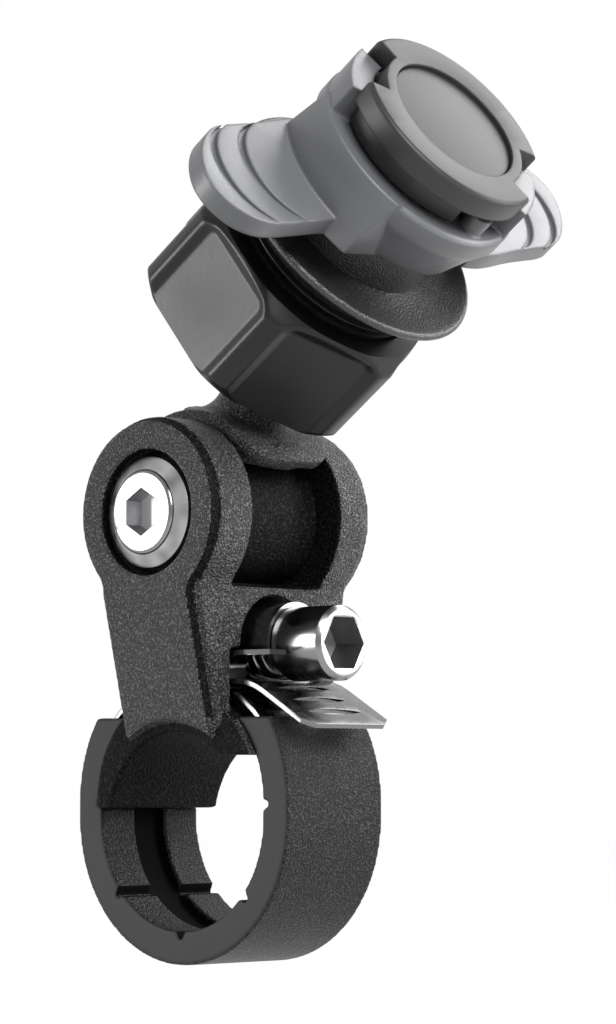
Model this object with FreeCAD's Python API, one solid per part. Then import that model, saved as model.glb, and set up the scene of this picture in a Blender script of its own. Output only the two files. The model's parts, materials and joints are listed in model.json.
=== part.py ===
import FreeCAD, Part
import math
import os

V = FreeCAD.Vector

# All sizes are in millimetres. The bar's axis is the Y axis and the bar's centre is the origin.
# +Z points up from the bar to the hinge, +X points towards the phone side.

# Bar and clamp
BAR_R = 11.1
BAR_FIT = 0.05
BAND_W = 14.8
RING_EDGE = 0.8
RING_W = BAND_W + 2 * RING_EDGE
RING_IN_R = 13.4
RING_THICK = 4.0
RING_LOW_Z = 1.0
RING_HIGH_Z = 3.0
RING_END_Z = 12.9
RING_SLOT_W = 5.0
RING_SLOT_DEPTH = 1.1
NOTCH_DEPTH = 1.0
NOTCH_W = 1.8
NOTCH_STEP_DEG = 48.5
NOTCH_PER_SIDE = 2
BAND_T = 0.6
BAND_FIT = 0.05
BAND_TOP_Z = 17.05
TAIL_START_X = 8.3
TAIL_BEND_R = 8.5
TAIL_TURN = 30.0
TAIL_LONG = 8.4
TAIL_CUT_LONG = 1.2
TAIL_CUT_WIDE = 1.6
SLOT_LONG = 9.2
SLOT_WIDE = 1.3
SLOT_PITCH = 2.8
SLOT_COUNT = 5
SLOT_END_GAP = 3.0

# Worm drive
WORM_Z = 21.5
WORM_THREAD_R = 4.05
WORM_CORE_R = 3.3
WORM_PITCH = 1.5
WORM_X0 = 3.5
WORM_X1 = 10.4
NECK_R = 2.6
PIVOT_R = 1.8
HEAD_X0 = 11.3
HEAD_X1 = 18.8
WORM_HEAD_R = 4.45
WORM_HEX = 6.0
WORM_HEX_DEPTH = 4.5
HOUSING_T = 0.6
HOUSING_FIT = 0.35
HOUSING_X0 = 2.6
FLANGE_Z = 20.7
FLANGE_X1 = 13.8
HOOK_X = 6.7
HOOK_R = 1.9
RUN_FIT = 0.05

# Saddle and clevis
HINGE_Z = 37.0
EAR_R = 11.4
PLATE_R = 10.9
PLATE_STEP = 1.1
EAR_OUT = 14.2
EAR_IN = 7.6
EAR_LOW_OUT = 10.2
EAR_BACK = 13.2
PLATE_X1 = 6.7
FOOT_R = 12.4
EAR_SLANT_TOP = 9.5
NECK_X0 = -7.4
NECK_X1 = 7.9
FOOT_Z = 10.4
SADDLE_HALF = RING_W / 2.0 + 1.1
LEG_TIP_Z = 2.0
LEG_TIP_RIGHT_Z = 8.4
SLOT_FLOOR = 8.7
POCKET_X0 = 1.6
POCKET_HALF = 7.7
POCKET_R = 5.9

# Hinge hardware
BOLT_R = 3.0
BOLT_HEAD_R = 5.0
BOLT_HEAD_H = 4.0
BOLT_PROUD = 0.7
BOLT_HEX = 5.0
BOLT_HEX_DEPTH = 2.6
RECESS_R = 7.4
RECESS_DEPTH = 4.0
CUP_R = 6.6
CUP_T = 0.7
CUP_CROWN = 0.3
CUP_RIM = 0.6
NUT_AF = 10.0
NUT_H = 5.0
NUT_FIT = 0.1

# Arm
TONGUE_R = 7.8
TONGUE_FIT = 0.15
COVER_R = 12.7
COVER_LEFT_DEG = -22.0
COVER_RIGHT_DEG = 60.0
COVER_T = 1.7
COVER_CORNER_R = 4.0
CORE_LEFT_DEG = -16.0
CORE_RIGHT_DEG = 30.0
BALL_R = 8.5
BALL_FIT = 0.06
STEM_R = 3.9
STEM_FOOT_X = 1.6
STEM_ROOT = 3.8

# Head, measured along its own axis from the ball's centre
BALL_X = 7.8
BALL_Z = HINGE_Z + 24.6
HEAD_TILT = 55.3
NUT_LOW = -4.6
NUT_HIGH = 9.6
NUT_CORNER_R = 16.4
NUT_STRIP_R = 16.15
NUT_EDGE_R = 14.9
NUT_FLAT_R = 14.4
NUT_FACETS = 6
NUT_TURN = 7.0
NUT_MOUTH_R = 9.3
NUT_MOUTH_FLARE = 0.5
THREAD_R = 12.2
THREAD_FIT = 0.06
CUP_WALL_R = 10.6
COLLET_FIT = 0.05
COLLET_LOW = -3.0
COLLET_HIGH = 3.2
COLLET_SLITS = 6
DISH_R = 17.0
DISH_Z = 14.8
DISH_TOP = 15.8
POST_R = 7.6
GUIDE_IN_R = 9.3
GUIDE_R = 9.95
GUIDE_TOP = 21.8
GUIDE_FOOT_Z = 16.9
POST_TOP = 28.7
COLLAR_LOW = 20.4
COLLAR_WALL = 1.3
COLLAR_R = 13.7
WING_Z = 20.0
WING_T = 2.5
COLLAR_TOP = 28.4
COLLAR_ROOF = 2.4
COLLAR_SKIRT_R = 11.4
COLLAR_ROOT_R = 15.3
COLLAR_ROOT_HALF = 8.6
WING_TURN = 4.4
WING_OUTLINE = [(8.9, 9.0), (8.7, 12.3), (7.3, 17.5), (6.0, 23.1), (4.9, 26.8), (2.5, 29.8), (-0.5, 31.7),
                (-3.8, 32.4), (-6.6, 31.3), (-8.6, 28.7), (-9.1, 26.0), (-8.8, 23.2), (-7.7, 18.0), (-6.6, 12.3),
                (-6.2, 9.0)]
GROOVE_R = 7.6
GROOVE_DEPTH = 0.6
GROOVE_CENTRES = [(-1.5, 22.2), (-0.5, 17.1)]
TAB_TOP = 32.4
TAB_R = 13.5
STOP_R = 1.5
STOP_AT_R = 11.0
STOP_AT = -84.0
STOP_TOP = 30.6
PRESS_TRAVEL = 2.8
DISC_R = 12.75
DISC_T = 2.9
DISC_TOP = 34.5
LUG_R = 11.3
DISC_CORE_R = 9.2
LUG_FROM = 159.0
LUG_TO = 257.0
DISC_NOTCH_R = 9.9
DISC_NOTCH_DEG = 46.0
DISC_NOTCH_AT = -40.5
CAP_R = 8.5
CAP_T = 1.0
CAP_SUNK = 0.45
CAP_FIT = 0.08
HEAD_SCREW_R = 2.0
HEAD_SCREW_HEAD_R = 3.5
HEAD_SCREW_HEAD_H = 2.0
HEAD_SCREW_LONG = 14.0
WASHER_R = 5.0
WASHER_T = 0.8
SPRING_R = 8.72
SPRING_WIRE = 0.45
SPRING_TURNS = 4


def box(x0, x1, y0, y1, z0, z1):
    return Part.makeBox(x1 - x0, y1 - y0, z1 - z0, V(x0, y0, z0))


def cyl_y(r, y0, y1, x=0.0, z=0.0):
    return Part.makeCylinder(r, y1 - y0, V(x, y0, z), V(0, 1, 0))


def cyl_x(r, x0, x1, z=0.0):
    return Part.makeCylinder(r, x1 - x0, V(x0, 0, z), V(1, 0, 0))


def cyl_z(r, z0, z1):
    return Part.makeCylinder(r, z1 - z0, V(0, 0, z0), V(0, 0, 1))


def prism_y(points, y0, y1):
    wire = Part.makePolygon([V(x, y0, z) for x, z in points] + [V(points[0][0], y0, points[0][1])])
    return Part.Face(wire).extrude(V(0, y1 - y0, 0))


def prism_z(points, z0, z1):
    wire = Part.makePolygon([V(x, y, z0) for x, y in points] + [V(points[0][0], points[0][1], z0)])
    return Part.Face(wire).extrude(V(0, 0, z1 - z0))


def turned(points):
    wire = Part.makePolygon([V(r, 0, z) for r, z in points] + [V(points[0][0], 0, points[0][1])])
    return Part.Face(wire).revolve(V(0, 0, 0), V(0, 0, 1), 360)


def ring_z(r0, r1, z0, z1):
    return cyl_z(r1, z0, z1).cut(cyl_z(r0, z0 - 1, z1 + 1))


def polygon(flats, count, turn=0.0):
    r = flats / 2.0 / math.cos(math.pi / count)
    angles = [turn + 2 * math.pi * i / count for i in range(count)]
    return [(r * math.cos(a), r * math.sin(a)) for a in angles]


def hex_y(flats, y0, y1, x=0.0, z=0.0):
    points = [(x + p, z + q) for p, q in polygon(flats, 6, math.pi / 6)]
    return prism_y(points, y0, y1)


def hex_x(flats, x0, x1, z=0.0):
    points = polygon(flats, 6)
    loop = [V(x0, p, z + q) for p, q in points]
    return Part.Face(Part.makePolygon(loop + [loop[0]])).extrude(V(x1 - x0, 0, 0))


def to_head(shape):
    placed = shape.copy()
    placed.rotate(V(0, 0, 0), V(0, 1, 0), HEAD_TILT)
    placed.translate(V(BALL_X, 0, BALL_Z))
    return placed


def loop_area(r, y0, y1):
    low = cyl_y(r, y0, y1, 0, RING_LOW_Z)
    high = cyl_y(r, y0, y1, 0, RING_HIGH_Z)
    side = box(-r, r, y0, y1, RING_LOW_Z, RING_HIGH_Z)
    return low.fuse([high, side])


def loop_strip(r0, r1, half):
    return loop_area(r1, -half, half).cut(loop_area(r0, -half - 1, half + 1))


def above_ring_ends():
    return box(-30, 30, -30, 30, RING_END_Z, 60)


def rubber_ring():
    ring = loop_strip(RING_IN_R, RING_IN_R + RING_THICK, RING_W / 2.0)
    ring = ring.cut(above_ring_ends())
    mid = RING_IN_R + RING_THICK / 2.0
    half_t = BAND_T / 2.0 + BAND_FIT
    ring = ring.cut(loop_strip(mid - half_t, mid + half_t, BAND_W / 2.0 + BAND_FIT))
    ring = ring.cut(loop_strip(RING_IN_R - 1, RING_IN_R + RING_SLOT_DEPTH, RING_SLOT_W / 2.0))
    for k in range(-NOTCH_PER_SIDE, NOTCH_PER_SIDE + 1):
        ring = ring.cut(ring_notch(k * NOTCH_STEP_DEG))
    return ring


def ring_notch(turn):
    tip = RING_IN_R + NOTCH_DEPTH
    half = NOTCH_W / 2.0
    points = [(-half, 0.5 - RING_IN_R), (half, 0.5 - RING_IN_R), (0.2, -tip), (-0.2, -tip)]
    notch = prism_y(points, -RING_W, RING_W)
    notch.rotate(V(0, 0, 0), V(0, 1, 0), turn)
    notch.translate(V(0, 0, RING_LOW_Z))
    return notch


def band_leg(points, half=BAND_W / 2.0):
    outline = []
    back = []
    t = BAND_T / 2.0
    for i, (x, z) in enumerate(points):
        x0, z0 = points[max(i - 1, 0)]
        x1, z1 = points[min(i + 1, len(points) - 1)]
        long = math.hypot(x1 - x0, z1 - z0)
        nx = -(z1 - z0) / long
        nz = (x1 - x0) / long
        outline.append((x + nx * t, z + nz * t))
        back.append((x - nx * t, z - nz * t))
    return prism_y(outline + back[::-1], -half, half)


def band_entry_x(z=RING_END_Z):
    mid = RING_IN_R + RING_THICK / 2.0
    return math.sqrt(mid ** 2 - (z - RING_HIGH_Z) ** 2)


def along_tail(far):
    bend = math.radians(TAIL_TURN)
    if far < TAIL_BEND_R * bend:
        a = far / TAIL_BEND_R
        return TAIL_START_X + TAIL_BEND_R * math.sin(a), BAND_TOP_Z - TAIL_BEND_R * (1 - math.cos(a)), a
    rest = far - TAIL_BEND_R * bend
    x = TAIL_START_X + TAIL_BEND_R * math.sin(bend) + rest * math.cos(bend)
    z = BAND_TOP_Z - TAIL_BEND_R * (1 - math.cos(bend)) - rest * math.sin(bend)
    return x, z, bend


def tail_length():
    return TAIL_BEND_R * math.radians(TAIL_TURN) + TAIL_LONG


def tail_cutter(shape, far):
    x, z, a = along_tail(far)
    shape.rotate(V(0, 0, 0), V(0, 1, 0), math.degrees(a))
    shape.translate(V(x, 0, z))
    return shape


def slot_shape():
    half, wide = SLOT_LONG / 2.0, SLOT_WIDE / 2.0
    ends = V(0, -half, -2), V(0, half, -2)
    sides = [Part.Arc(ends[0], V(side * wide, 0, -2), ends[1]).toShape() for side in (-1, 1)]
    return Part.Face(Part.Wire(Part.__sortEdges__(sides))).extrude(V(0, 0, 4))


def tail_corner(side):
    half = BAND_W / 2.0
    points = [(-TAIL_CUT_LONG, side * half), (-TAIL_CUT_LONG, side * (half + 2)), (2, side * (half + 2)),
              (2, side * (half - TAIL_CUT_WIDE * (TAIL_CUT_LONG + 2) / TAIL_CUT_LONG))]
    return prism_z(points, -3, 3)


def clamp_band():
    mid = RING_IN_R + RING_THICK / 2.0
    loop = loop_strip(mid - BAND_T / 2.0, mid + BAND_T / 2.0, BAND_W / 2.0)
    loop = loop.cut(above_ring_ends())
    low, high = RING_END_Z - 0.4, RING_END_Z + 0.1
    x0, x1 = band_entry_x(low), band_entry_x(high)
    top = BAND_TOP_Z
    right = band_leg([(x0, low), (x1, high), (x1 - 0.5, high + 0.5), (9.9, top - 2.55), (8.6, top - 1.6),
                      (3.0, top - 1.35)])
    steps = [tail_length() * i / 12.0 for i in range(13)]
    tail = [along_tail(far)[:2] for far in steps]
    left = band_leg([(-x0, low), (-x1, high), (-x1 + 0.5, high + 0.5), (-9.6, top - 2.45), (-7.4, top - 0.65),
                     (-5.6, top)] + tail)
    for k in range(SLOT_COUNT):
        left = left.cut(tail_cutter(slot_shape(), tail_length() - SLOT_END_GAP - k * SLOT_PITCH))
    for side in (-1, 1):
        left = left.cut(tail_cutter(tail_corner(side), tail_length()))
    return loop.fuse([right, left]).removeSplitter()


def ear_profile(radius, x1, y0, y1):
    body = cyl_y(radius, y0, y1, 0, HINGE_Z)
    neck = box(NECK_X0, x1, y0, y1, FOOT_Z, HINGE_Z - 4)
    body = body.fuse(neck).removeSplitter()
    corners = [e for e in body.Edges if is_neck_corner(e)]
    return body.makeFillet(2.6, corners)


def is_neck_corner(edge):
    if len(edge.Vertexes) != 2:
        return False
    a, b = [v.Point for v in edge.Vertexes]
    along = abs(a.x - b.x) < 1e-4 and abs(a.z - b.z) < 1e-4
    return along and FOOT_Z + 5 < a.z < HINGE_Z - 5


def slant_cut(side, out, foot_out):
    z0 = HINGE_Z - EAR_SLANT_TOP
    lean = (out - foot_out) / (z0 - FOOT_Z)
    low = out - lean * (z0 + 4)
    loop = [V(-30, side * out, z0), V(-30, side * low, -4), V(-30, side * 30, -4), V(-30, side * 30, z0)]
    return Part.Face(Part.makePolygon(loop + [loop[0]])).extrude(V(60, 0, 0))


def saddle_arch():
    outer = loop_area(RING_IN_R - BAND_FIT, -SADDLE_HALF, SADDLE_HALF)
    left = outer.common(box(-30, 0, -30, 30, LEG_TIP_Z, 40))
    right = outer.common(box(0, 30, -30, 30, LEG_TIP_RIGHT_Z, 40))
    return left.fuse(right)


def foot_relief(side):
    y = sorted((side * SADDLE_HALF, side * 30))
    return cyl_y(FOOT_R, y[0], y[1])


def band_passage():
    x = band_entry_x()
    room = 2 * BAND_FIT + BAND_T
    through = box(-30, 30, -BAND_W / 2.0 - 0.1, BAND_W / 2.0 + 0.1, BAND_TOP_Z - room, BAND_TOP_Z + room)
    shoulder = prism_y([(-x - 6, RING_END_Z - 0.9), (-x + 2.0, RING_END_Z - 0.9), (-5.2, BAND_TOP_Z - room),
                        (-5.2, BAND_TOP_Z + room), (-x - 6, BAND_TOP_Z + room)],
                       -BAND_W / 2.0 - 0.1, BAND_W / 2.0 + 0.1)
    return through.fuse(shoulder)


def worm_pocket():
    round_part = cyl_x(POCKET_R, POCKET_X0, 30, WORM_Z)
    low_part = box(POCKET_X0, 30, -POCKET_HALF, POCKET_HALF, FOOT_Z + 3.0, FLANGE_Z + 0.3)
    return round_part.fuse(low_part)


def saddle_body():
    core = ear_profile(EAR_R, NECK_X1, -EAR_OUT + PLATE_STEP, EAR_BACK - PLATE_STEP)
    plates = ear_profile(PLATE_R, PLATE_X1, -EAR_OUT, EAR_BACK)
    for side, out in ((-1, EAR_OUT), (1, EAR_BACK)):
        core = core.cut(slant_cut(side, out - PLATE_STEP, EAR_LOW_OUT - PLATE_STEP))
        plates = plates.cut(slant_cut(side, out, EAR_LOW_OUT))
    body = core.fuse(plates)
    for side in (-1, 1):
        body = body.cut(foot_relief(side))
    body = body.fuse(saddle_arch())
    body = body.cut(cyl_y(BAR_R + BAR_FIT, -30, 30))
    body = body.cut(box(-30, 30, -EAR_IN, EAR_IN, HINGE_Z - SLOT_FLOOR, HINGE_Z + 20))
    body = body.cut(worm_pocket())
    body = body.cut(band_passage())
    body = body.cut(cyl_y(RECESS_R, -EAR_OUT - 1, -EAR_OUT + RECESS_DEPTH, 0, HINGE_Z))
    body = body.cut(hex_y(NUT_AF + 2 * NUT_FIT, EAR_BACK - NUT_H - 0.3, EAR_BACK + 1, 0, HINGE_Z))
    body = body.cut(cyl_y(BOLT_R + RUN_FIT, -30, 30, 0, HINGE_Z))
    return body.removeSplitter()


def worm_housing():
    r0 = WORM_THREAD_R + HOUSING_FIT
    r1 = r0 + HOUSING_T
    x1 = HEAD_X0 - 0.15
    dome = cyl_x(r1, HOUSING_X0, x1, WORM_Z).cut(cyl_x(r0, HOUSING_X0 + HOUSING_T, x1 - HOUSING_T, WORM_Z))
    dome = dome.cut(box(-10, 40, -20, 20, 0, FLANGE_Z - HOUSING_T))
    dome = dome.cut(cyl_x(PIVOT_R + RUN_FIT, HOUSING_X0 - 1, HOUSING_X0 + 2, WORM_Z))
    dome = dome.cut(cyl_x(NECK_R + RUN_FIT, x1 - 2, x1 + 1, WORM_Z))
    shape = dome
    for side in (-1, 1):
        shape = shape.fuse(housing_side(side, r0, x1))
    return shape.removeSplitter()


def housing_side(side, r0, x1):
    half = BAND_W / 2.0
    level = FLANGE_Z - HOUSING_T / 2.0
    path = [(HOOK_X, BAND_TOP_Z + BAND_T / 2.0), (HOOK_X, level - HOOK_R)]
    for k in range(1, 7):
        a = math.radians(15 * k)
        path.append((HOOK_X + HOOK_R * (1 - math.cos(a)), level - HOOK_R * (1 - math.sin(a))))
    strip = band_leg(path + [(FLANGE_X1, level)])
    y = sorted((side * (WORM_HEAD_R + 0.15), side * (half + 1)))
    inner = sorted((side * (r0 - 0.1), side * (half + 1)))
    front = strip.common(box(0, 40, y[0], y[1], 0, 60))
    root = strip.common(box(0, x1, inner[0], inner[1], 0, 60))
    return front.fuse(root)


def worm_screw():
    screw = cyl_x(WORM_CORE_R, WORM_X0, WORM_X1, WORM_Z)
    turns = int((WORM_X1 - WORM_X0) / WORM_PITCH)
    for k in range(turns):
        screw = screw.fuse(worm_crest(WORM_X0 + 0.4 + k * WORM_PITCH))
    screw = screw.fuse(cyl_x(PIVOT_R, HOUSING_X0, WORM_X0, WORM_Z))
    screw = screw.fuse(cyl_x(NECK_R, WORM_X1, HEAD_X0, WORM_Z))
    head = cyl_x(WORM_HEAD_R, HEAD_X0, HEAD_X1, WORM_Z)
    rim = [e for e in head.Edges if abs(e.BoundBox.XMin - HEAD_X1) < 1e-4 and abs(e.BoundBox.XMax - HEAD_X1) < 1e-4]
    head = head.makeChamfer(0.5, rim)
    head = head.cut(hex_x(WORM_HEX, HEAD_X1 - WORM_HEX_DEPTH, HEAD_X1 + 1, WORM_Z))
    return screw.fuse(head).removeSplitter()


def worm_crest(x):
    points = [(WORM_CORE_R - 0.5, 0.0), (WORM_CORE_R, 0.0), (WORM_THREAD_R, 0.3), (WORM_THREAD_R, 0.7),
              (WORM_CORE_R, 1.0), (WORM_CORE_R - 0.5, 1.0)]
    crest = turned(points)
    crest.rotate(V(0, 0, 0), V(0, 1, 0), 90)
    crest.translate(V(x, 0, WORM_Z))
    return crest


def hinge_bolt():
    face = -EAR_OUT - BOLT_PROUD
    seat = face + BOLT_HEAD_H
    head = cyl_y(BOLT_HEAD_R, face, seat, 0, HINGE_Z)
    rim = [e for e in head.Edges if abs(e.BoundBox.YMin - face) < 1e-4 and abs(e.BoundBox.YMax - face) < 1e-4]
    head = head.makeFillet(0.5, rim)
    head = head.cut(hex_y(BOLT_HEX, face - 1, face + BOLT_HEX_DEPTH, 0, HINGE_Z))
    return head.fuse(cyl_y(BOLT_R, seat, EAR_BACK - 0.2, 0, HINGE_Z)).removeSplitter()


def cup_washer():
    seat = BOLT_HEAD_H - BOLT_PROUD
    back = seat + CUP_T
    bore = BOLT_HEAD_R + RUN_FIT
    points = [(BOLT_R + RUN_FIT, -seat), (bore, -seat), (bore, CUP_CROWN), (CUP_R, -CUP_RIM), (CUP_R, -back),
              (BOLT_R + RUN_FIT, -back)]
    cup = turned(points)
    cup.rotate(V(0, 0, 0), V(1, 0, 0), 90)
    cup.translate(V(0, -EAR_OUT, HINGE_Z))
    return cup


def hinge_nut():
    low = EAR_BACK - NUT_H - 0.3
    nut = hex_y(NUT_AF, low, low + NUT_H, 0, HINGE_Z)
    return nut.cut(cyl_y(BOLT_R, low - 1, low + NUT_H + 1, 0, HINGE_Z))


def hinge_wedge(left_deg, right_deg, radius):
    half = EAR_IN - TONGUE_FIT
    points = [(0.0, 0.0)]
    steps = 14
    for i in range(steps + 1):
        a = math.radians(left_deg + (right_deg - left_deg) * i / steps)
        points.append((40 * math.sin(a), 40 * math.cos(a)))
    wedge = prism_y([(x, HINGE_Z + z) for x, z in points], -half, half)
    return wedge.common(cyl_y(radius, -half, half, 0, HINGE_Z))


def cover():
    shell = hinge_wedge(COVER_LEFT_DEG, COVER_RIGHT_DEG, COVER_R)
    shell = shell.cut(cyl_y(COVER_R - COVER_T, -30, 30, 0, HINGE_Z))
    corners = [e for e in shell.Edges if e.BoundBox.YLength < 1e-4 and e.BoundBox.XMin > TONGUE_R]
    shell = shell.makeFillet(COVER_CORNER_R, corners)
    return shell.fuse(hinge_wedge(CORE_LEFT_DEG, CORE_RIGHT_DEG, COVER_R - COVER_T / 2.0))


def stem():
    foot = V(STEM_FOOT_X, 0, HINGE_Z + 8.0)
    top = V(BALL_X, 0, BALL_Z)
    axis = top.sub(foot)
    long = axis.Length
    profile = [V(0, 0, 0), V(STEM_R + STEM_ROOT, 0, 0), V(STEM_R + STEM_ROOT, 0, 3.4)]
    for i in range(1, 7):
        a = math.radians(15 * i)
        profile.append(V(STEM_R + STEM_ROOT * (1 - math.sin(a)), 0, 3.4 + STEM_ROOT * (1 - math.cos(a))))
    profile.append(V(STEM_R, 0, long))
    profile.append(V(0, 0, long))
    shape = Part.Face(Part.makePolygon(profile + [profile[0]])).revolve(V(0, 0, 0), V(0, 0, 1), 360)
    shape.rotate(V(0, 0, 0), V(0, 1, 0), math.degrees(math.atan2(axis.x, axis.z)))
    shape.translate(foot)
    return shape


def arm():
    half = EAR_IN - TONGUE_FIT
    shape = cyl_y(TONGUE_R, -half, half, 0, HINGE_Z)
    shape = shape.fuse(cover())
    shape = shape.fuse(stem().common(hinge_wedge(COVER_LEFT_DEG, COVER_RIGHT_DEG, 2 * COVER_R)))
    shape = shape.cut(cyl_y(BOLT_R + RUN_FIT, -20, 20, 0, HINGE_Z))
    shape = shape.fuse(Part.makeSphere(BALL_R, V(BALL_X, 0, BALL_Z)))
    return shape.removeSplitter()


def ball_hollow(extra):
    return Part.makeSphere(BALL_R + extra)


def ball_collet():
    outer = CUP_WALL_R - COLLET_FIT
    points = [(0, COLLET_LOW), (NUT_MOUTH_R - COLLET_FIT, COLLET_LOW), (outer, -0.6), (outer, COLLET_HIGH),
              (0, COLLET_HIGH)]
    ring = turned(points).cut(ball_hollow(BALL_FIT))
    for k in range(COLLET_SLITS):
        slit = box(0, 20, -0.4, 0.4, COLLET_LOW - 1, 1.2)
        slit.rotate(V(0, 0, 0), V(0, 0, 1), 360.0 * k / COLLET_SLITS + 30)
        ring = ring.cut(slit)
    return to_head(ring)


def socket_head():
    points = [(0, 8.2), (0, POST_TOP), (POST_R, POST_TOP), (POST_R, DISH_TOP - 0.8), (GUIDE_IN_R, DISH_TOP - 0.8),
              (GUIDE_IN_R, GUIDE_TOP), (GUIDE_R, GUIDE_TOP), (GUIDE_R, GUIDE_FOOT_Z), (DISH_R - 2.9, DISH_TOP - 0.8),
              (DISH_R - 2.6, DISH_TOP), (DISH_R - 0.3, DISH_TOP), (DISH_R, DISH_TOP - 0.3), (DISH_R, DISH_Z),
              (THREAD_R + 1.2, NUT_HIGH + 2.4), (THREAD_R, NUT_HIGH + 1.8), (THREAD_R, -0.4), (CUP_WALL_R, -0.4),
              (CUP_WALL_R, COLLET_HIGH + 0.05), (BALL_R + 0.6, COLLET_HIGH + 0.05), (BALL_R + 0.6, 8.2)]
    shape = turned(points).cut(ball_hollow(BALL_FIT))
    shape = shape.cut(cyl_z(HEAD_SCREW_R, POST_TOP - 14, POST_TOP + 1))
    return to_head(shape)


def nut_wire(z):
    half = math.pi / NUT_FACETS
    share = math.atan2(NUT_STRIP_R / NUT_EDGE_R - math.cos(half), math.sin(half))
    r = NUT_EDGE_R / math.cos(share)
    edges = []
    for k in range(NUT_FACETS):
        mid = math.radians(NUT_TURN) + half * (2 * k + 1)
        first, middle, last = [V(d * math.cos(mid + a), d * math.sin(mid + a), z)
                               for d, a in ((r, -share), (NUT_FLAT_R, 0.0), (r, share))]
        onward = mid + 2 * half - share
        edges.append(Part.Arc(first, middle, last).toShape())
        edges.append(Part.makeLine(last, V(r * math.cos(onward), r * math.sin(onward), z)))
    return Part.Wire(edges)


def clamp_nut():
    body = Part.Face(nut_wire(NUT_LOW)).extrude(V(0, 0, NUT_HIGH - NUT_LOW))
    c = 1.5
    shell = turned([(0, NUT_LOW), (NUT_CORNER_R - c, NUT_LOW), (NUT_CORNER_R + 0.05, NUT_LOW + c),
                    (NUT_CORNER_R + 0.05, NUT_HIGH - 2.0), (NUT_CORNER_R - 1.8, NUT_HIGH), (0, NUT_HIGH)])
    body = body.common(shell)
    flare = NUT_MOUTH_R + NUT_MOUTH_FLARE
    bore = [(0, NUT_LOW - 1), (flare, NUT_LOW - 1), (flare, NUT_LOW), (NUT_MOUTH_R, COLLET_LOW),
            (CUP_WALL_R + COLLET_FIT, -0.55), (THREAD_R + THREAD_FIT, -0.55), (THREAD_R + THREAD_FIT, NUT_HIGH + 1),
            (0, NUT_HIGH + 1)]
    return to_head(body.cut(turned(bore)))


def head_xy(u, v):
    return (-u, v)


def wing(side):
    points = [V(-side * u, -side * v, WING_Z) for u, v in WING_OUTLINE]
    curve = Part.BSplineCurve()
    curve.interpolate(points)
    root = Part.makeLine(points[-1], points[0])
    return Part.Face(Part.Wire([curve.toShape(), root])).extrude(V(0, 0, WING_T))


def wing_groove(side, u, v):
    top = WING_Z + WING_T
    x, y = head_xy(side * u, -side * v)
    ring = cyl_z(GROOVE_R, top - GROOVE_DEPTH, top + 1)
    lune = cyl_z(GROOVE_R + 0.6, top - 2, top + 2)
    lune.translate(V(0, side * 1.8, 0))
    ring.translate(V(x, y, 0))
    lune.translate(V(x, y, 0))
    return ring.cut(lune)


def collar_root():
    cone = turned([(0, WING_Z), (COLLAR_ROOT_R, WING_Z), (COLLAR_ROOT_R, WING_Z + WING_T + 0.4),
                   (COLLAR_R + 0.1, COLLAR_TOP), (0, COLLAR_TOP)])
    slab = box(-COLLAR_ROOT_HALF, COLLAR_ROOT_HALF, -40, 40, 0, 60)
    slab.rotate(V(0, 0, 0), V(0, 0, 1), WING_TURN)
    return cone.common(slab)


def release_collar():
    roof = COLLAR_TOP - COLLAR_ROOF
    body = turned([(0, COLLAR_LOW), (COLLAR_SKIRT_R, COLLAR_LOW), (COLLAR_SKIRT_R + 1.2, COLLAR_LOW + 3.4),
                   (COLLAR_R, roof), (COLLAR_R, COLLAR_TOP - 0.5), (COLLAR_R - 0.5, COLLAR_TOP), (0, COLLAR_TOP)])
    body = body.fuse(collar_root())
    for side in (1, -1):
        body = body.fuse(wing(side))
        for u, v in GROOVE_CENTRES:
            body = body.cut(wing_groove(side, u, v))
    body = body.cut(cyl_z(COLLAR_SKIRT_R - COLLAR_WALL, WING_Z - 1, roof))
    body = body.cut(cyl_z(POST_R + 0.08, COLLAR_LOW - 2, 60))
    for turn in (0, 180):
        body = body.fuse(collar_tab(turn))
        body = body.fuse(collar_stop(turn))
    return to_head(body.removeSplitter())


def collar_stop(turn):
    a = math.radians(STOP_AT + turn)
    x, y = head_xy(STOP_AT_R * math.sin(a), STOP_AT_R * math.cos(a))
    post = cyl_z(STOP_R, COLLAR_TOP - 1.0, STOP_TOP)
    post.translate(V(x, y, 0))
    return post


def sector(r0, r1, z0, z1, mid_deg, wide_deg):
    points = [(0.0, 0.0)]
    for i in range(13):
        a = math.radians(mid_deg + wide_deg * (i / 12.0 - 0.5))
        points.append((60 * math.sin(a), 60 * math.cos(a)))
    wedge = prism_z([(-u, v) for u, v in points], z0, z1)
    return wedge.common(ring_z(r0, r1, z0, z1))


def collar_tab(turn):
    low = COLLAR_TOP - 1.0
    return sector(DISC_NOTCH_R + 0.4, TAB_R, low, TAB_TOP, DISC_NOTCH_AT + turn, DISC_NOTCH_DEG - 6.0)


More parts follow.
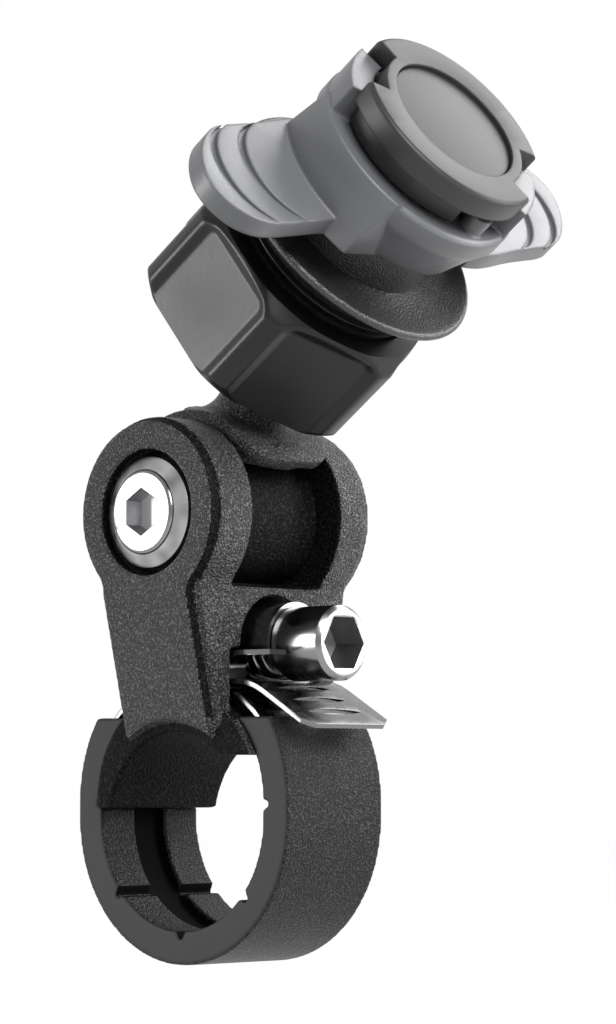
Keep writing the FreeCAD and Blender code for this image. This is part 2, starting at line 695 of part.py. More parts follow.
def bayonet_disc():
    plate = cyl_z(DISC_R, DISC_TOP - DISC_T, DISC_TOP)
    top = [e for e in plate.Edges if abs(e.BoundBox.ZMin - DISC_TOP) < 1e-4 and abs(e.BoundBox.ZMax - DISC_TOP) < 1e-4]
    plate = plate.makeFillet(0.6, top)
    low = DISC_TOP - DISC_T
    body = plate.fuse(cyl_z(DISC_CORE_R, POST_TOP, low))
    for turn in (0, 180):
        lug = sector(DISC_CORE_R - 1, LUG_R, POST_TOP + 0.05, low, (LUG_FROM + LUG_TO) / 2.0 + turn, LUG_TO - LUG_FROM)
        body = body.fuse(lug)
    for turn in (0, 180):
        body = body.cut(sector(DISC_NOTCH_R, 40, POST_TOP - 1, DISC_TOP + 1, DISC_NOTCH_AT + turn, DISC_NOTCH_DEG))
    body = body.cut(cyl_z(CAP_R, DISC_TOP - CAP_T, DISC_TOP + 1))
    body = body.cut(cyl_z(WASHER_R + 0.2, POST_TOP + 0.4, DISC_TOP + 1))
    body = body.cut(cyl_z(HEAD_SCREW_R + 0.1, POST_TOP - 1, DISC_TOP + 1))
    return to_head(body.removeSplitter())


def disc_cap():
    return to_head(cyl_z(CAP_R - CAP_FIT, DISC_TOP - CAP_T, DISC_TOP - CAP_SUNK))


def head_washer():
    z = POST_TOP + 0.4
    return to_head(ring_z(HEAD_SCREW_R + 0.1, WASHER_R, z, z + WASHER_T))


def head_screw():
    z = POST_TOP + 0.4 + WASHER_T
    head = cyl_z(HEAD_SCREW_HEAD_R, z, z + HEAD_SCREW_HEAD_H - 0.1)
    head = head.cut(prism_z(polygon(3.0, 6), z + 0.6, z + 5))
    return to_head(head.fuse(cyl_z(HEAD_SCREW_R, z + 1 - HEAD_SCREW_LONG + 1, z)).removeSplitter())


def collar_spring():
    low = DISH_TOP - 0.8 + SPRING_WIRE
    high = COLLAR_TOP - COLLAR_ROOF - SPRING_WIRE
    pitch = (high - low) / SPRING_TURNS
    helix = Part.makeHelix(pitch, high - low, SPRING_R)
    helix.translate(V(0, 0, low))
    ring = [V(SPRING_R + p, 0, low + q) for p, q in polygon(2 * SPRING_WIRE, 8)]
    section = Part.makePolygon(ring + [ring[0]])
    pipe = Part.Wire(helix.Edges).makePipeShell([section], True, True)
    return to_head(pipe)


NODES = {
    "saddle_body": saddle_body,
    "rubber_ring": rubber_ring,
    "clamp_band": clamp_band,
    "worm_housing": worm_housing,
    "worm_screw": worm_screw,
    "hinge_bolt": hinge_bolt,
    "cup_washer": cup_washer,
    "hinge_nut": hinge_nut,
    "arm": arm,
    "ball_collet": ball_collet,
    "socket_head": socket_head,
    "clamp_nut": clamp_nut,
    "release_collar": release_collar,
    "collar_spring": collar_spring,
    "bayonet_disc": bayonet_disc,
    "disc_cap": disc_cap,
    "head_washer": head_washer,
    "head_screw": head_screw,
}

os.makedirs("parts", exist_ok=True)
for name, make in NODES.items():
    shape = make()
    solids = shape.Solids
    print(name, "solids", len(solids), "valid", shape.isValid(), "volume", round(shape.Volume, 1))
    if len(solids) == 1:
        shape = solids[0]
    shape.exportStep("parts/" + name + ".step")
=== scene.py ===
import json
import math

import bmesh
import bpy
from mathutils import Matrix, Vector

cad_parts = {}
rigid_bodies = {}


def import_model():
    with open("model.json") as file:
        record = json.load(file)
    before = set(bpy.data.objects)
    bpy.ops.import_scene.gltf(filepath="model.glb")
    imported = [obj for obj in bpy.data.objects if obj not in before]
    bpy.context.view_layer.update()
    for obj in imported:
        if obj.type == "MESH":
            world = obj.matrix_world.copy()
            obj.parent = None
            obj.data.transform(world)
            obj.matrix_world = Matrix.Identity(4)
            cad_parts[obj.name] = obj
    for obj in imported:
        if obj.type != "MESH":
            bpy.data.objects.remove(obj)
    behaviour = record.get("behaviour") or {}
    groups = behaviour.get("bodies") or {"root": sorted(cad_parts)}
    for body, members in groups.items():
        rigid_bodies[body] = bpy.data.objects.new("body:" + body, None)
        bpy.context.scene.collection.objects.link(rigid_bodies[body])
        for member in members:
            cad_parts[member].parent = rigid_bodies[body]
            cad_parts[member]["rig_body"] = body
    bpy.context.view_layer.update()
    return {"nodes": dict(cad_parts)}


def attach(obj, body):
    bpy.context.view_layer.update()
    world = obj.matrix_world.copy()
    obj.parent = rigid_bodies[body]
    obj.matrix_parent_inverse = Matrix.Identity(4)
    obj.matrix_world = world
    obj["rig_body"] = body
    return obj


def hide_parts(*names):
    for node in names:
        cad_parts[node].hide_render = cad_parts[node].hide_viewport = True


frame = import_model()

MM = 0.001

# Saddle and hinge, in millimetres

HINGE_Z = 37.0
EAR_OUT = 14.2
EAR_LOW_OUT = 10.2
EAR_IN = 7.6
EAR_LEAN_Z = 27.5
PLATE_STEP = 1.1
FOOT_Z = 10.4
WINDOW_LOW_Z = 27.5
SADDLE_HALF = 9.3
ARCH_SKIN_R = 11.7
TONGUE_R = 7.8
PLATE_LOW_Z = FOOT_Z + 2.5
BOLT_SOCKET_R = 2.95
BOLT_SOCKET_Y = (-14.7, -9.0)
WORM_Z = 21.5
WORM_SOCKET_R = 3.5
WORM_SOCKET_X = (13.8, 18.7)

# Rubber ring

RING_IN_R = 13.4
RING_LOW_Z, RING_HIGH_Z = 1.0, 3.0
RING_SLOT_HALF = 2.5
RING_SLOT_SKIN_R = 15.0
RING_NOTCH_SKIN_R = 14.9

# Head, in its own tilted frame with the ball's centre as origin

TILT = math.radians(55.3)
BALL = Vector((7.8, 0.0, 61.6))
HEAD = Matrix.Translation(BALL * MM) @ Matrix.Rotation(TILT, 4, "Y")
HEAD_AXIS = HEAD.to_3x3() @ Vector((0.0, 0.0, 1.0))

NUT_LOW, NUT_HIGH = -4.6, 9.6
NUT_TURN = math.radians(7.0)
NUT_SECTOR = math.pi / 3
FACET_AT = 14.9
STRIP_AT = 16.7
CORNER_R = 16.85
LOW_CHAMFER = 1.5
HIGH_CHAMFER = 2.0
HIGH_SLOPE = 0.9
HOLLOW = 0.5
HOLLOW_EDGE = 1.5
PAD_HALF = 7.3
PAD_TOP = 9.2
PAD_CORNER = 2.4
STRIP_BLEND = 0.3
CORNER_BLEND = 0.5
NUT_TURNS = 540
NUT_LEVELS = 80
NUT_BORE_R = 12.26
BORE_CHAMFER = 0.5
NUT_CUP_R = 10.65
NUT_CUP_Z = -0.55
NUT_MOUTH_R = 9.3
NUT_MOUTH_Z = -3.0
NUT_FLARE = 0.5

CREST_LEVELS = (10.1, 11.0)
CREST_ROOT_R = 12.0
CREST_R = 12.62
CREST_RISE = 0.26
CREST_FALL = 0.34
CREST_HIGH = 0.6
CREST_TURNS = 180

DISH_R = 17.0
DISH_TOP = 15.8
DISH_LIP = 1.0
DISH_HOLLOW = 0.5
DISH_ROUND = 0.5
HOLLOW_RISE = 0.1
RIM_IN = 0.45
LIP_IN = 0.4
LIP_POINTS = 6
LIP_TOP_BOW = -0.13
LIP_SIDE_BOW = -0.12
UNDER_IN = 0.6
UNDER_DROP = 0.05
UNDER_BOW = 0.3
DISH_UNDER_R, DISH_UNDER_Z = 12.1, 11.9
SHANK_R = 11.95
SHANK_LOW = -0.35
SHANK_TOP = 11.6
CUP_R = 10.6
CUP_ROOF = 3.3
CUP_LEDGE_R = 9.1
BALL_ROOM_R, BALL_ROOM_TOP = 8.3, 8.3
CORE_R, CORE_LOW = 0.2, 9.2
POST_R = 7.6
POST_TOP = 28.6
POST_EDGE = 0.2
GUIDE_IN_R = 9.3
GUIDE_R = 9.95
GUIDE_FLOOR = 15.1
GUIDE_TOP = 21.8

CAP_OUTLINE = ((0.05, 33.5), (8.4, 33.5), (8.42, 33.95), (8.36, 34.03), (8.25, 34.05), (0.05, 34.05))

# Tests on a face: how far its centre may lie past a surface, in millimetres

SKIN = 0.15
PLATE_SKIN = 0.1
HINGE_SKIN = 0.35
SLOT_SKIN = 0.05

# Tests on a face: how much of its normal points one way

FACING = 0.8
ACROSS = 0.7
SIDEWAYS = 0.5
ALONG = 0.35

# Mesh work: the weld in metres, bevels in millimetres, angles in degrees

WELD = 0.00001
BEVEL_ANGLE = 30.0
BEVEL_SEGMENTS = 3
SHARP_ANGLE = 40.0
GRID_SHARP_ANGLE = 32.0
PLAIN_BEVEL = 0.12
PLAIN_SEGMENTS = 2
PLAIN_ANGLE = 32.0
SMOOTH_FACTOR = 0.5

# Noise of the materials

GRAIN_DETAIL = 2.0
SPECKLE_DETAIL = 1.5
MIDDLE_RANGE = (0.3, 0.7)
PEAK_RANGE = (0.5, 0.75)
EDGE_SAMPLES = 6

# Stage, light and camera, in metres and watts

FLOOR_Z = -0.075
FLOOR_R = 4.0
FLOOR_COLOUR = 0.4
FLOOR_SEEN = 0.93
WORLD_LIGHT = 0.15
WORLD_SEEN = 1.0
LAMP_AIM = (0.005, 0.0, 0.04)
SENSOR = 36.0
FOCAL_PIXELS = 3700.0
PICTURE_HIGH = 1024.0
CAMERA_AT = (0.31067, -0.31995, 0.00646)
CAMERA_RIGHT = Vector((0.73217, 0.68112, 0.0))
CAMERA_UP = Vector((0.04765, -0.05123, 0.99755))
CAMERA_BACK = Vector((0.67945, -0.73038, -0.06996))


# Materials

def material(name, colour, roughness, metallic=0.0, specular=0.5):
    mat = bpy.data.materials.new(name)
    mat.use_nodes = True
    shader = mat.node_tree.nodes["Principled BSDF"]
    shader.inputs["Base Color"].default_value = (*colour, 1.0)
    shader.inputs["Roughness"].default_value = roughness
    shader.inputs["Metallic"].default_value = metallic
    shader.inputs["Specular IOR Level"].default_value = specular
    return mat


def noise(mat, scale, detail):
    nodes, links = mat.node_tree.nodes, mat.node_tree.links
    place = nodes.new("ShaderNodeTexCoord")
    texture = nodes.new("ShaderNodeTexNoise")
    texture.inputs["Scale"].default_value = scale
    texture.inputs["Detail"].default_value = detail
    links.new(place.outputs["Object"], texture.inputs["Vector"])
    return texture.outputs["Fac"]


def bump(mat, height, depth, strength=1.0):
    nodes, links = mat.node_tree.nodes, mat.node_tree.links
    relief = nodes.new("ShaderNodeBump")
    relief.inputs["Distance"].default_value = depth
    relief.inputs["Strength"].default_value = strength
    links.new(height, relief.inputs["Height"])
    links.new(relief.outputs["Normal"], nodes["Principled BSDF"].inputs["Normal"])


def spread(mat, value, reads, gives, socket):
    """Stretch a noise value from one range to another and feed it to a socket of the shader."""
    nodes, links = mat.node_tree.nodes, mat.node_tree.links
    stretch = nodes.new("ShaderNodeMapRange")
    stretch.inputs["From Min"].default_value, stretch.inputs["From Max"].default_value = reads
    stretch.inputs["To Min"].default_value, stretch.inputs["To Max"].default_value = gives
    links.new(value, stretch.inputs["Value"])
    links.new(stretch.outputs["Result"], nodes["Principled BSDF"].inputs[socket])


def grain(mat, scale, depth, strength):
    bump(mat, noise(mat, scale, GRAIN_DETAIL), depth, strength)


def vary(mat, socket, scale, low, high, detail=3.0):
    spread(mat, noise(mat, scale, detail), MIDDLE_RANGE, (low, high), socket)


def grain_with_painted_light(mat, scale, low, high, depth):
    """Grain whose peaks are paler than its hollows: painted highlights on the peaks and painted shade in the
    hollows.
    """
    height = noise(mat, scale, SPECKLE_DETAIL)
    spread(mat, height, PEAK_RANGE, (low, high), "Base Color")
    bump(mat, height, depth)


def rounded(mat, radius):
    """Soften a material's edges, as a moulded piece's small fillets do."""
    nodes, links = mat.node_tree.nodes, mat.node_tree.links
    bevel = nodes.new("ShaderNodeBevel")
    bevel.samples = EDGE_SAMPLES
    bevel.inputs["Radius"].default_value = radius * MM
    bumps = [node for node in nodes if node.bl_idname == "ShaderNodeBump"]
    taker = bumps[0] if bumps else nodes["Principled BSDF"]
    links.new(bevel.outputs["Normal"], taker.inputs["Normal"])


nylon = material("textured_nylon", (0.01, 0.01, 0.0105), 0.4, specular=0.36)
grain_with_painted_light(nylon, scale=4000, low=0.002, high=0.16, depth=0.0007)
# Painted shade: a darker, duller copy of the nylon for faces where shade falls, under the saddle, beside the
# plate, inside the ears and on the hinge's core
painted_shade_nylon = material("painted_shade_nylon", (0.004, 0.004, 0.004), 0.6, specular=0.05)
grain_with_painted_light(painted_shade_nylon, scale=3300, low=0.002, high=0.022, depth=0.0003)
smooth_nylon = material("smooth_nylon", (0.008, 0.008, 0.0083), 0.3, specular=0.22)
grain(smooth_nylon, scale=1500, depth=0.00003, strength=0.5)
vary(smooth_nylon, "Roughness", scale=90, low=0.27, high=0.34)
disc_nylon = material("disc_nylon", (0.012, 0.012, 0.0123), 0.4, specular=0.19)
grain(disc_nylon, scale=3000, depth=0.00004, strength=0.5)
rounded(disc_nylon, 0.3)
disc_edge = material("disc_edge", (0.012, 0.012, 0.0125), 0.45, specular=0.4)
rounded(disc_edge, 0.3)
dish_nylon = material("dish_nylon", (0.01, 0.01, 0.0103), 0.38, specular=0.5)
grain_with_painted_light(dish_nylon, scale=4600, low=0.004, high=0.035, depth=0.00012)

rubber = material("sleeve_rubber", (0.01, 0.01, 0.0103), 0.46, specular=0.13)
grain_with_painted_light(rubber, scale=4000, low=0.002, high=0.05, depth=0.0003)
rubber_face = material("rubber_face", (0.02, 0.02, 0.0205), 0.55, specular=0.16)
black = material("deep_shadow_rubber", (0.002, 0.002, 0.002), 0.8, specular=0.03)

grey = material("grey_plastic", (0.08, 0.082, 0.087), 0.4, specular=0.55)
grain(grey, scale=2600, depth=0.00004, strength=0.6)
vary(grey, "Roughness", scale=100, low=0.38, high=0.47)
rounded(grey, 0.5)

steel = material("bright_steel", (0.17, 0.17, 0.174), 0.2, metallic=1.0)
vary(steel, "Roughness", scale=300, low=0.15, high=0.25)
cup_steel = material("cup_steel", (0.24, 0.24, 0.245), 0.3, metallic=1.0)
vary(cup_steel, "Base Color", scale=240, low=0.06, high=0.42, detail=1.0)
vary(cup_steel, "Roughness", scale=400, low=0.22, high=0.4)
socket_steel = material("socket_steel", (0.2, 0.2, 0.205), 0.4, metallic=1.0)
band_steel = material("band_steel", (0.13, 0.13, 0.133), 0.24, metallic=1.0)
vary(band_steel, "Roughness", scale=500, low=0.16, high=0.34)
satin = material("satin_steel", (0.4, 0.4, 0.41), 0.34, metallic=1.0)


# Ways to finish a solid of the part

def copied(node, ending):
    """A welded copy of a node, as a new object."""
    obj = bpy.data.objects.new(node + ending, frame["nodes"][node].data.copy())
    bpy.context.scene.collection.objects.link(obj)
    mesh = bmesh.new()
    mesh.from_mesh(obj.data)
    bmesh.ops.remove_doubles(mesh, verts=mesh.verts, dist=WELD)
    mesh.to_mesh(obj.data)
    mesh.free()
    return obj


def baked(obj):
    bpy.context.view_layer.update()
    graph = bpy.context.evaluated_depsgraph_get()
    made = bpy.data.meshes.new_from_object(obj.evaluated_get(graph))
    obj.modifiers.clear()
    obj.data = made


def add_bevel(obj, width, segments, angle):
    bevel = obj.modifiers.new("bevel", "BEVEL")
    bevel.width = width * MM
    bevel.segments = segments
    bevel.limit_method = "ANGLE"
    bevel.angle_limit = math.radians(angle)


def smooth_by_angle(obj, angle):
    mesh = bmesh.new()
    mesh.from_mesh(obj.data)
    bmesh.ops.recalc_face_normals(mesh, faces=mesh.faces)
    for face in mesh.faces:
        face.smooth = True
    for edge in mesh.edges:
        edge.smooth = len(edge.link_faces) == 2 and edge.calc_face_angle(0.0) < math.radians(angle)
    mesh.to_mesh(obj.data)
    mesh.free()


def put(obj, mat, body):
    obj.data.materials.clear()
    obj.data.materials.append(mat)
    for polygon in obj.data.polygons:
        polygon.material_index = 0
    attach(obj, body)


def soft_copy(node, mat, voxel, rounds):
    """A moulded piece: a fine even mesh of the solid whose edges are rubbed round."""
    obj = copied(node, "_moulded")
    remesh = obj.modifiers.new("remesh", "REMESH")
    remesh.mode = "VOXEL"
    remesh.voxel_size = voxel * MM
    remesh.use_smooth_shade = True
    smooth = obj.modifiers.new("smooth", "SMOOTH")
    smooth.factor = SMOOTH_FACTOR
    smooth.iterations = rounds
    baked(obj)
    obj.data.shade_smooth()
    put(obj, mat, frame["nodes"][node]["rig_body"])
    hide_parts(node)
    return obj


def crisp_copy(node, mat, width):
    """A cut or stamped piece: the solid with narrow bevels."""
    obj = copied(node, "_finished")
    add_bevel(obj, width, BEVEL_SEGMENTS, BEVEL_ANGLE)
    baked(obj)
    smooth_by_angle(obj, SHARP_ANGLE)
    put(obj, mat, frame["nodes"][node]["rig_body"])
    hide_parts(node)
    return obj


def bevelled(node, mat):
    """A piece that keeps its own solid and only gets a material and narrow bevels."""
    obj = frame["nodes"][node]
    obj.data.materials.clear()
    obj.data.materials.append(mat)
    merge = obj.modifiers.new("merge", "WELD")
    merge.merge_threshold = WELD
    add_bevel(obj, PLAIN_BEVEL, PLAIN_SEGMENTS, PLAIN_ANGLE)


def repaint(obj, mat, test):
    """Give one material to the faces whose centre and normal pass a test, in millimetres."""
    obj.data.materials.append(mat)
    index = len(obj.data.materials) - 1
    for polygon in obj.data.polygons:
        if test(polygon.center / MM, polygon.normal):
            polygon.material_index = index


# Round pieces of the head

def around(count):
    return [2 * math.pi * j / count for j in range(count)]


def head_point(r, angle, z):
    return HEAD @ (Vector((r * math.cos(angle), r * math.sin(angle), z)) * MM)


def grid(name, rows):
    """A mesh from rows of points; each row is closed, and the last row joins the first one."""
    count = len(rows[0])
    verts = [tuple(point) for row in rows for point in row]
    faces = []
    for i in range(len(rows)):
        a, b = i * count, ((i + 1) % len(rows)) * count
        for j in range(count):
            k = (j + 1) % count
            faces.append((a + j, a + k, b + k, b + j))
    mesh = bpy.data.meshes.new(name)
    mesh.from_pydata(verts, [], faces)
    obj = bpy.data.objects.new(name, mesh)
    bpy.context.scene.collection.objects.link(obj)
    smooth_by_angle(obj, GRID_SHARP_ANGLE)
    return obj


def turned(name, outline, turns=240):
    """A closed outline of radii and heights turned about the head's axis."""
    return grid(name, [[head_point(r, a, z) for a in around(turns)] for r, z in outline])


def arc(r0, z0, r1, z1, sag, count=10):
    """Points on a shallow curve between two places, bowed to the right of the way along it."""
    across = math.hypot(r1 - r0, z1 - z0)
    side = ((z1 - z0) / across, -(r1 - r0) / across)
    points = []
    for i in range(count + 1):
        t = i / count
        bow = 4 * sag * t * (1 - t)
        points.append((r0 + (r1 - r0) * t + side[0] * bow, z0 + (z1 - z0) * t + side[1] * bow))
    return points


def ease(low, high, value):
    t = min(max((value - low) / (high - low), 0.0), 1.0)
    return t * t * (3 - 2 * t)


def soft_min(a, b, blend):
    h = max(blend - abs(a - b), 0.0) / blend
    return min(a, b) - h * h * blend / 4


# Saddle, arm and ring

def loop_radius(p):
    """Distance from the middle line of the ring's centres."""
    middle = min(max(p.z, RING_LOW_Z), RING_HIGH_Z)
    return math.hypot(p.x, p.z - middle)


def plate_face_y(z):
    """How far out the near ear's raised plate stands at a height."""
    lean = (EAR_OUT - EAR_LOW_OUT) / (EAR_LEAN_Z - FOOT_Z)
    return -min(EAR_OUT, EAR_OUT - lean * (EAR_LEAN_Z - z))


# Masks for painted shade on the saddle: faces under its arch inside the ring, walls beside the near ear's
# raised plate, and faces inside the ears
def under_saddle(p, n):
    bar_side = math.hypot(p.x, p.z) < ARCH_SKIN_R
    inside_ring = abs(p.y) < SADDLE_HALF + SKIN and loop_radius(p) < RING_IN_R + SKIN
    return inside_ring and (bar_side or n.x < ACROSS)


def plate_wall(p, n):
    behind_face = p.y < plate_face_y(p.z) + PLATE_STEP + PLATE_SKIN
    return behind_face and n.y > -FACING and p.z > PLATE_LOW_Z


def inside_ears(p, n):
    return abs(p.y) < EAR_IN + SKIN and abs(n.y) > SIDEWAYS and p.z > WINDOW_LOW_Z


# Mask for painted shade on the arm's tongue between the ears
def hinge_core(p, n):
    return math.hypot(p.x, p.z - HINGE_Z) < TONGUE_R + HINGE_SKIN


def ring_slot(p, n):
    in_slot = abs(p.y) < RING_SLOT_HALF + SLOT_SKIN
    return in_slot and RING_IN_R + SKIN < loop_radius(p) < RING_SLOT_SKIN_R


def ring_notch(p, n):
    """The walls of the small notches inside the ring, whose normals run along it."""
    middle = min(max(p.z, RING_LOW_Z), RING_HIGH_Z)
    along = (n.z * p.x - n.x * (p.z - middle)) / loop_radius(p)
    low_and_inside = p.z < FOOT_Z and loop_radius(p) < RING_NOTCH_SKIN_R
    return low_and_inside and abs(n.y) < ACROSS and abs(along) > ALONG


def ring_face(p, n):
    return abs(n.y) > FACING


def saddle():
    piece = soft_copy("saddle_body", nylon, voxel=0.275, rounds=8)
    # Painted shade under the saddle, beside the plate and inside the ears
    repaint(piece, painted_shade_nylon, under_saddle)
    repaint(piece, painted_shade_nylon, plate_wall)
    repaint(piece, painted_shade_nylon, inside_ears)


def arm():
    piece = soft_copy("arm", nylon, voxel=0.27, rounds=8)
    # Painted shade on the tongue between the ears
    repaint(piece, painted_shade_nylon, hinge_core)


def sleeve():
    piece = soft_copy("rubber_ring", rubber, voxel=0.27, rounds=4)
    repaint(piece, rubber_face, ring_face)
    repaint(piece, black, ring_slot)
    repaint(piece, black, ring_notch)


# Clamp nut: six hollowed facets between plain corner strips

def pad_depth(across, z):
    """How far a point of a facet lies inside its rounded pad."""
    dx = across - (PAD_HALF - PAD_CORNER)
    dz = z - (PAD_TOP - PAD_CORNER)
    outside = math.hypot(max(dx, 0), max(dz, 0)) + min(max(dx, dz), 0) - PAD_CORNER
    return -outside


def nut_radius(angle, z):
    phase = (angle - NUT_TURN) % NUT_SECTOR - NUT_SECTOR / 2
    facet = FACET_AT / math.cos(phase)
    strip = STRIP_AT / math.cos(NUT_SECTOR / 2 - abs(phase))
    facet -= HOLLOW * ease(0.0, HOLLOW_EDGE, pad_depth(abs(FACET_AT * math.tan(phase)), z))
    body = soft_min(facet, strip, STRIP_BLEND)
    low_cut = max(0.0, NUT_LOW + LOW_CHAMFER - z)
    high_cut = HIGH_SLOPE * max(0.0, z - NUT_HIGH + HIGH_CHAMFER)
    return soft_min(body, CORNER_R - low_cut - high_cut, CORNER_BLEND)


def clamp_nut():
    angles = around(NUT_TURNS)
    levels = [NUT_LOW + (NUT_HIGH - NUT_LOW) * i / NUT_LEVELS for i in range(NUT_LEVELS + 1)]
    rows = [[head_point(nut_radius(a, z), a, z) for a in angles] for z in levels]
    bore = ((NUT_BORE_R + BORE_CHAMFER, NUT_HIGH), (NUT_BORE_R, NUT_HIGH - BORE_CHAMFER),
            (NUT_BORE_R, NUT_CUP_Z), (NUT_CUP_R, NUT_CUP_Z), (NUT_MOUTH_R, NUT_MOUTH_Z),
            (NUT_MOUTH_R + NUT_FLARE, NUT_LOW))
    for r, z in bore:
        rows.append([head_point(r, a, z) for a in angles])
    obj = grid("clamp_nut_finished", rows)
    put(obj, smooth_nylon, "nut")
    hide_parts("clamp_nut")


# Head, collar and disc

def thread_crests():
    for k, z in enumerate(CREST_LEVELS):
        outline = ((CREST_ROOT_R, z), (CREST_R, z + CREST_RISE), (CREST_R, z + CREST_FALL),
                   (CREST_ROOT_R, z + CREST_HIGH))
        obj = turned("thread_crest_%d" % (k + 1), outline, CREST_TURNS)
        put(obj, smooth_nylon, "head")


def dish():
    """The head's core, its thread and the thin dish, whose top is hollow up to a narrow rim."""
    outline = [(BALL_ROOM_R, BALL_ROOM_TOP), (CORE_R, CORE_LOW), (CORE_R, POST_TOP),
               (POST_R - POST_EDGE, POST_TOP), (POST_R, POST_TOP - POST_EDGE), (POST_R, GUIDE_FLOOR),
               (GUIDE_IN_R, GUIDE_FLOOR), (GUIDE_IN_R, GUIDE_TOP), (GUIDE_R, GUIDE_TOP)]
    outline += arc(GUIDE_R, GUIDE_FLOOR + HOLLOW_RISE, DISH_R - DISH_ROUND, DISH_TOP, DISH_HOLLOW)
    outline += arc(DISH_R - RIM_IN, DISH_TOP, DISH_R, DISH_TOP - DISH_ROUND, LIP_TOP_BOW, LIP_POINTS)
    lip_side = arc(DISH_R, DISH_TOP - DISH_ROUND, DISH_R - LIP_IN, DISH_TOP - DISH_LIP,
                   LIP_SIDE_BOW, LIP_POINTS)
    outline += lip_side[1:]
    outline += arc(DISH_R - UNDER_IN, DISH_TOP - DISH_LIP - UNDER_DROP, DISH_UNDER_R, DISH_UNDER_Z,
                   UNDER_BOW)
    outline += [(SHANK_R, SHANK_TOP), (SHANK_R, SHANK_LOW), (CUP_R, SHANK_LOW), (CUP_R, CUP_ROOF),
                (CUP_LEDGE_R, CUP_ROOF)]
    put(turned("head_core", outline), dish_nylon, "head")
    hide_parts("socket_head")


def disc_cap():
    put(turned("cap_face", CAP_OUTLINE), disc_nylon, "head")
    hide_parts("disc_cap")


def disc_side(p, n):
    return n.dot(HEAD_AXIS) < FACING


def disc():
    piece = crisp_copy("bayonet_disc", disc_nylon, width=0.15)
    repaint(piece, disc_edge, disc_side)


# Steel pieces

def worm_socket(p, n):
    low, high = WORM_SOCKET_X
    return low < p.x < high and math.hypot(p.y, p.z - WORM_Z) < WORM_SOCKET_R


def bolt_socket(p, n):
    low, high = BOLT_SOCKET_Y
    return low < p.y < high and math.hypot(p.x, p.z - HINGE_Z) < BOLT_SOCKET_R


def steel_pieces():
    crisp_copy("clamp_band", band_steel, width=0.1)
    crisp_copy("worm_housing", steel, width=0.12)
    worm = crisp_copy("worm_screw", steel, width=0.12)
    repaint(worm, socket_steel, worm_socket)
    bolt = crisp_copy("hinge_bolt", steel, width=0.12)
    repaint(bolt, satin, bolt_socket)
    crisp_copy("cup_washer", cup_steel, width=0.06)
    for node in ("hinge_nut", "head_washer", "head_screw", "collar_spring"):
        bevelled(node, satin)


# Stage, light and camera

def background_rays(nodes, links):
    """One for rays that see the background directly, in a reflection or through a clear piece."""
    path = nodes.new("ShaderNodeLightPath")
    seen = nodes.new("ShaderNodeMath")
    seen.operation = "MAXIMUM"
    also = nodes.new("ShaderNodeMath")
    also.operation = "MAXIMUM"
    links.new(path.outputs["Is Camera Ray"], seen.inputs[0])
    links.new(path.outputs["Is Glossy Ray"], seen.inputs[1])
    links.new(seen.outputs[0], also.inputs[0])
    links.new(path.outputs["Is Transmission Ray"], also.inputs[1])
    return also.outputs[0]


def floor_material():
    mat = bpy.data.materials.new("floor_white")
    mat.use_nodes = True
    nodes, links = mat.node_tree.nodes, mat.node_tree.links
    nodes.clear()
    out = nodes.new("ShaderNodeOutputMaterial")
    add = nodes.new("ShaderNodeAddShader")
    diffuse = nodes.new("ShaderNodeBsdfDiffuse")
    diffuse.inputs["Color"].default_value = (FLOOR_COLOUR, FLOOR_COLOUR, FLOOR_COLOUR, 1.0)
    glow = nodes.new("ShaderNodeEmission")
    scale = nodes.new("ShaderNodeMath")
    scale.operation = "MULTIPLY"
    scale.inputs[1].default_value = FLOOR_SEEN
    links.new(background_rays(nodes, links), scale.inputs[0])
    links.new(scale.outputs[0], glow.inputs["Strength"])
    links.new(diffuse.outputs[0], add.inputs[0])
    links.new(glow.outputs[0], add.inputs[1])
    links.new(add.outputs[0], out.inputs["Surface"])
    return mat


def floor():
    bpy.ops.mesh.primitive_circle_add(vertices=96, radius=FLOOR_R, fill_type="NGON", location=(0, 0, FLOOR_Z))
    obj = bpy.context.object
    obj.name = "floor"
    obj.data.materials.append(floor_material())


def white_background(nodes, strength):
    shader = nodes.new("ShaderNodeBackground")
    shader.inputs["Color"].default_value = (1.0, 1.0, 1.0, 1.0)
    shader.inputs["Strength"].default_value = strength
    return shader


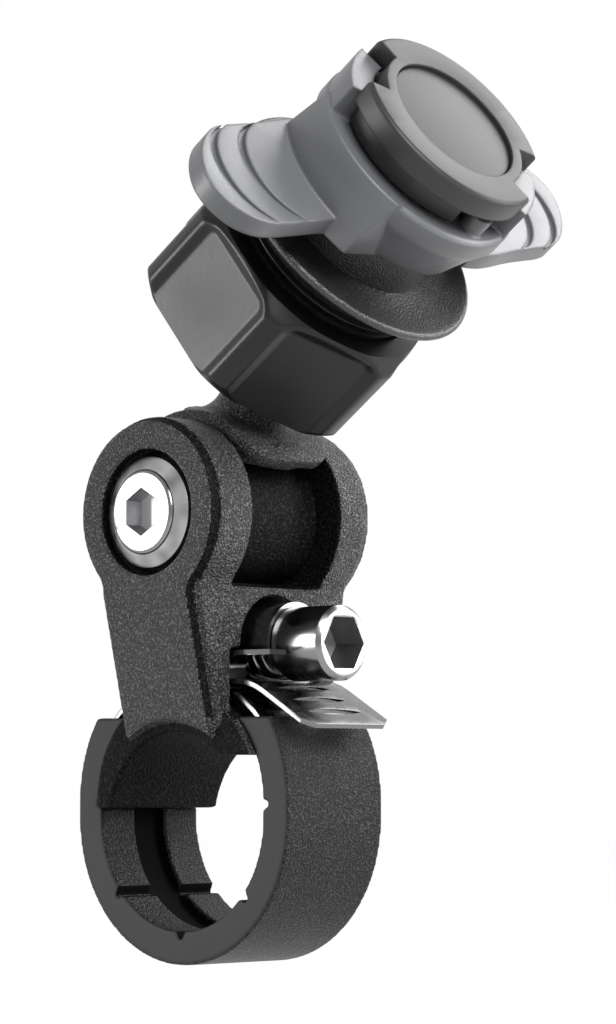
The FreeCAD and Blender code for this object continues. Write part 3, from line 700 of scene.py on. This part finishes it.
def world():
    back = bpy.data.worlds.new("studio")
    bpy.context.scene.world = back
    back.use_nodes = True
    nodes, links = back.node_tree.nodes, back.node_tree.links
    nodes.clear()
    out = nodes.new("ShaderNodeOutputWorld")
    pick = nodes.new("ShaderNodeMixShader")
    room = white_background(nodes, WORLD_LIGHT)
    white = white_background(nodes, WORLD_SEEN)
    links.new(background_rays(nodes, links), pick.inputs["Fac"])
    links.new(room.outputs[0], pick.inputs[1])
    links.new(white.outputs[0], pick.inputs[2])
    links.new(pick.outputs[0], out.inputs["Surface"])


def lamp(name, direction, distance, size, power):
    data = bpy.data.lights.new(name, "AREA")
    data.shape = "RECTANGLE"
    data.size, data.size_y = size
    data.energy = power
    obj = bpy.data.objects.new(name, data)
    bpy.context.scene.collection.objects.link(obj)
    way = Vector(direction).normalized()
    obj.location = Vector(LAMP_AIM) + way * distance
    obj.rotation_mode = "QUATERNION"
    obj.rotation_quaternion = way.to_track_quat("Z", "Y")


def lamps():
    lamp("left", (-0.64, -0.76, 0.05), distance=0.6, size=(0.22, 0.32), power=2.9)
    lamp("right_back", (0.66, 0.68, 0.26), distance=0.55, size=(0.22, 0.34), power=3.2)
    lamp("top_back", (0.17, 0.73, 0.66), distance=0.6, size=(0.4, 0.32), power=2.4)
    lamp("right_top", (0.8, -0.25, 0.57), distance=0.6, size=(0.3, 0.3), power=5.6)


def camera():
    data = bpy.data.cameras.new("camera")
    data.sensor_width = SENSOR
    data.lens = SENSOR * FOCAL_PIXELS / PICTURE_HIGH
    data.clip_start, data.clip_end = 0.01, 20.0
    obj = bpy.data.objects.new("camera", data)
    bpy.context.scene.collection.objects.link(obj)
    turn = Matrix((CAMERA_RIGHT, CAMERA_UP, CAMERA_BACK)).transposed().to_4x4()
    obj.matrix_world = Matrix.Translation(CAMERA_AT) @ turn
    bpy.context.scene.camera = obj


saddle()
arm()
sleeve()
clamp_nut()
thread_crests()
dish()
crisp_copy("release_collar", grey, width=0.12)
disc()
disc_cap()
bevelled("ball_collet", smooth_nylon)
steel_pieces()

floor()
world()
lamps()
camera()
bpy.context.scene.view_settings.view_transform = "Standard"
